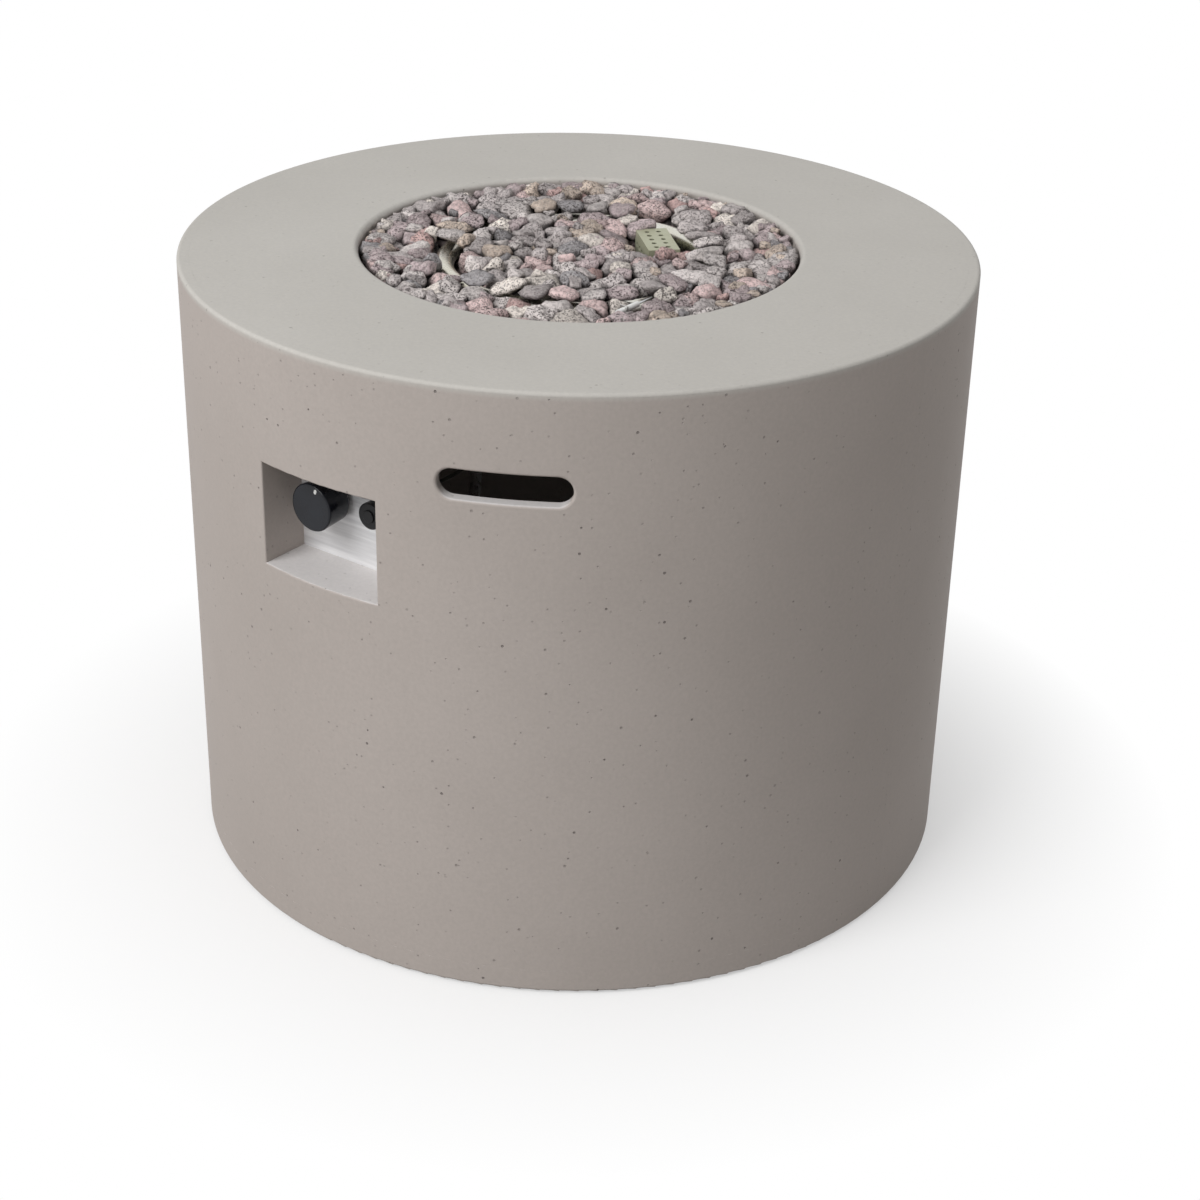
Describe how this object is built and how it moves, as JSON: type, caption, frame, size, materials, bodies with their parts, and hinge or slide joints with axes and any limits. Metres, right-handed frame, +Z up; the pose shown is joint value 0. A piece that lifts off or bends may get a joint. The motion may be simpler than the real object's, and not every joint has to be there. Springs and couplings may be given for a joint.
{
  "type": "gas fire pit",
  "caption": "Round cast-concrete gas fire pit with a lava rock bed over a ring burner, a recessed gas knob and push igniter, and hand slots in the wall.",
  "frame": {"origin": "on the ground, under the middle of the pit", "axes": "+Z up, the control pocket faces -Y, +X to the right seen from the pocket side"},
  "size_m": [0.79, 0.79, 0.6223],
  "materials": {
    "concrete": "cast concrete, fine pinholes, matt",
    "lava_rock": "porous broken rock, matt",
    "steel_sheet": "pressed stainless sheet",
    "burner_tube": "stainless tube, slightly heat tinted",
    "plated_sheet": "yellow-green plated perforated sheet",
    "screw_steel": "zinc plated",
    "brass": "machined brass",
    "valve_alloy": "die cast alloy",
    "knob_plastic": "black moulded plastic, glossy",
    "mark_paint": "white inlaid mark",
    "igniter_plastic": "black moulded plastic",
    "battery_case": "plain wrapped cell",
    "spring_steel": "bright spring wire",
    "gas_tube": "drawn tube",
    "lead_cover": "woven glass sleeve over a wire",
    "copper_lead": "copper capillary tube",
    "ceramic": "white fired ceramic",
    "rubber": "black rubber"
  },
  "bodies": {
    "pit": {"drum_wall": "concrete", "base_rim": "concrete", "deck_slab": "concrete", "opening_collar": "concrete", "pocket_frame": "concrete", "foot_screws": "screw_steel", "burner_pan": "steel_sheet", "pan_rivets": "screw_steel", "burner_ring": "burner_tube", "burner_leg_1": "steel_sheet", "burner_leg_2": "steel_sheet", "burner_lock_nuts": "brass", "air_mixer": "brass", "gas_jet": "brass", "gas_tube": "gas_tube", "gas_tube_nuts": "brass", "sensor_guard": "plated_sheet", "sensor_probe": "copper_lead", "sensor_lead": "copper_lead", "sensor_nut": "brass", "lead_clip_1": "steel_sheet", "lead_clip_2": "steel_sheet", "electrode_ceramic": "ceramic", "spark_wire": "screw_steel", "electrode_bracket": "steel_sheet", "spark_lead": "lead_cover", "lead_grommet": "rubber", "control_panel": "steel_sheet", "panel_screws": "screw_steel", "panel_inserts": "brass", "valve_body": "valve_alloy", "valve_cover": "valve_alloy", "valve_screws": "screw_steel", "inlet_fitting": "brass", "igniter_housing": "igniter_plastic", "igniter_nut": "igniter_plastic", "battery_spring": "spring_steel", "lava_rock_bed": "lava_rock", "lava_rock_inside": "lava_rock", "lava_rock_outside": "lava_rock", "lava_rock_on_ring": "lava_rock", "foot_pad_1": "rubber", "foot_pad_2": "rubber", "foot_pad_3": "rubber", "foot_pad_4": "rubber"},
    "valve_plug": {"valve_plug": "brass", "stem_spring": "spring_steel"},
    "knob": {"control_knob": "knob_plastic", "knob_mark": "mark_paint", "valve_stem": "screw_steel"},
    "battery": {"igniter_battery": "battery_case", "button_spring": "spring_steel"},
    "igniter_cap": {"igniter_cap": "igniter_plastic"},
    "igniter_button": {"igniter_button": "igniter_plastic"}
  },
  "joints": [
    {"name": "valve_turn", "type": "hinge", "parent": "pit", "child": "valve_plug", "pos_m": [-0.026, -0.3005, 0.4593], "axis": [0, -1, 0], "range_deg": [0, 180]},
    {"name": "knob_push", "type": "slide", "parent": "valve_plug", "child": "knob", "axis": [0, 1, 0], "range_m": [0, 0.004], "stiffness_N_per_m": 700, "springref_m": -0.004, "deforming": ["stem_spring"]},
    {"name": "battery_slide", "type": "slide", "parent": "pit", "child": "battery", "axis": [0, -1, 0], "range_m": [0, 0.005], "deforming": ["battery_spring"]},
    {"name": "cap_turn", "type": "hinge", "parent": "battery", "child": "igniter_cap", "pos_m": [0.028, -0.3435, 0.4593], "axis": [0, -1, 0], "range_deg": [0, 900]},
    {"name": "igniter_push", "type": "slide", "parent": "igniter_cap", "child": "igniter_button", "axis": [0, 1, 0], "range_m": [0, 0.0025], "stiffness_N_per_m": 900, "springref_m": -0.002, "deforming": ["button_spring"]}
  ],
  "couplings": [
    {"joint": "battery_slide", "follows": "cap_turn", "m_per_rad": 0.00031831}
  ]
}
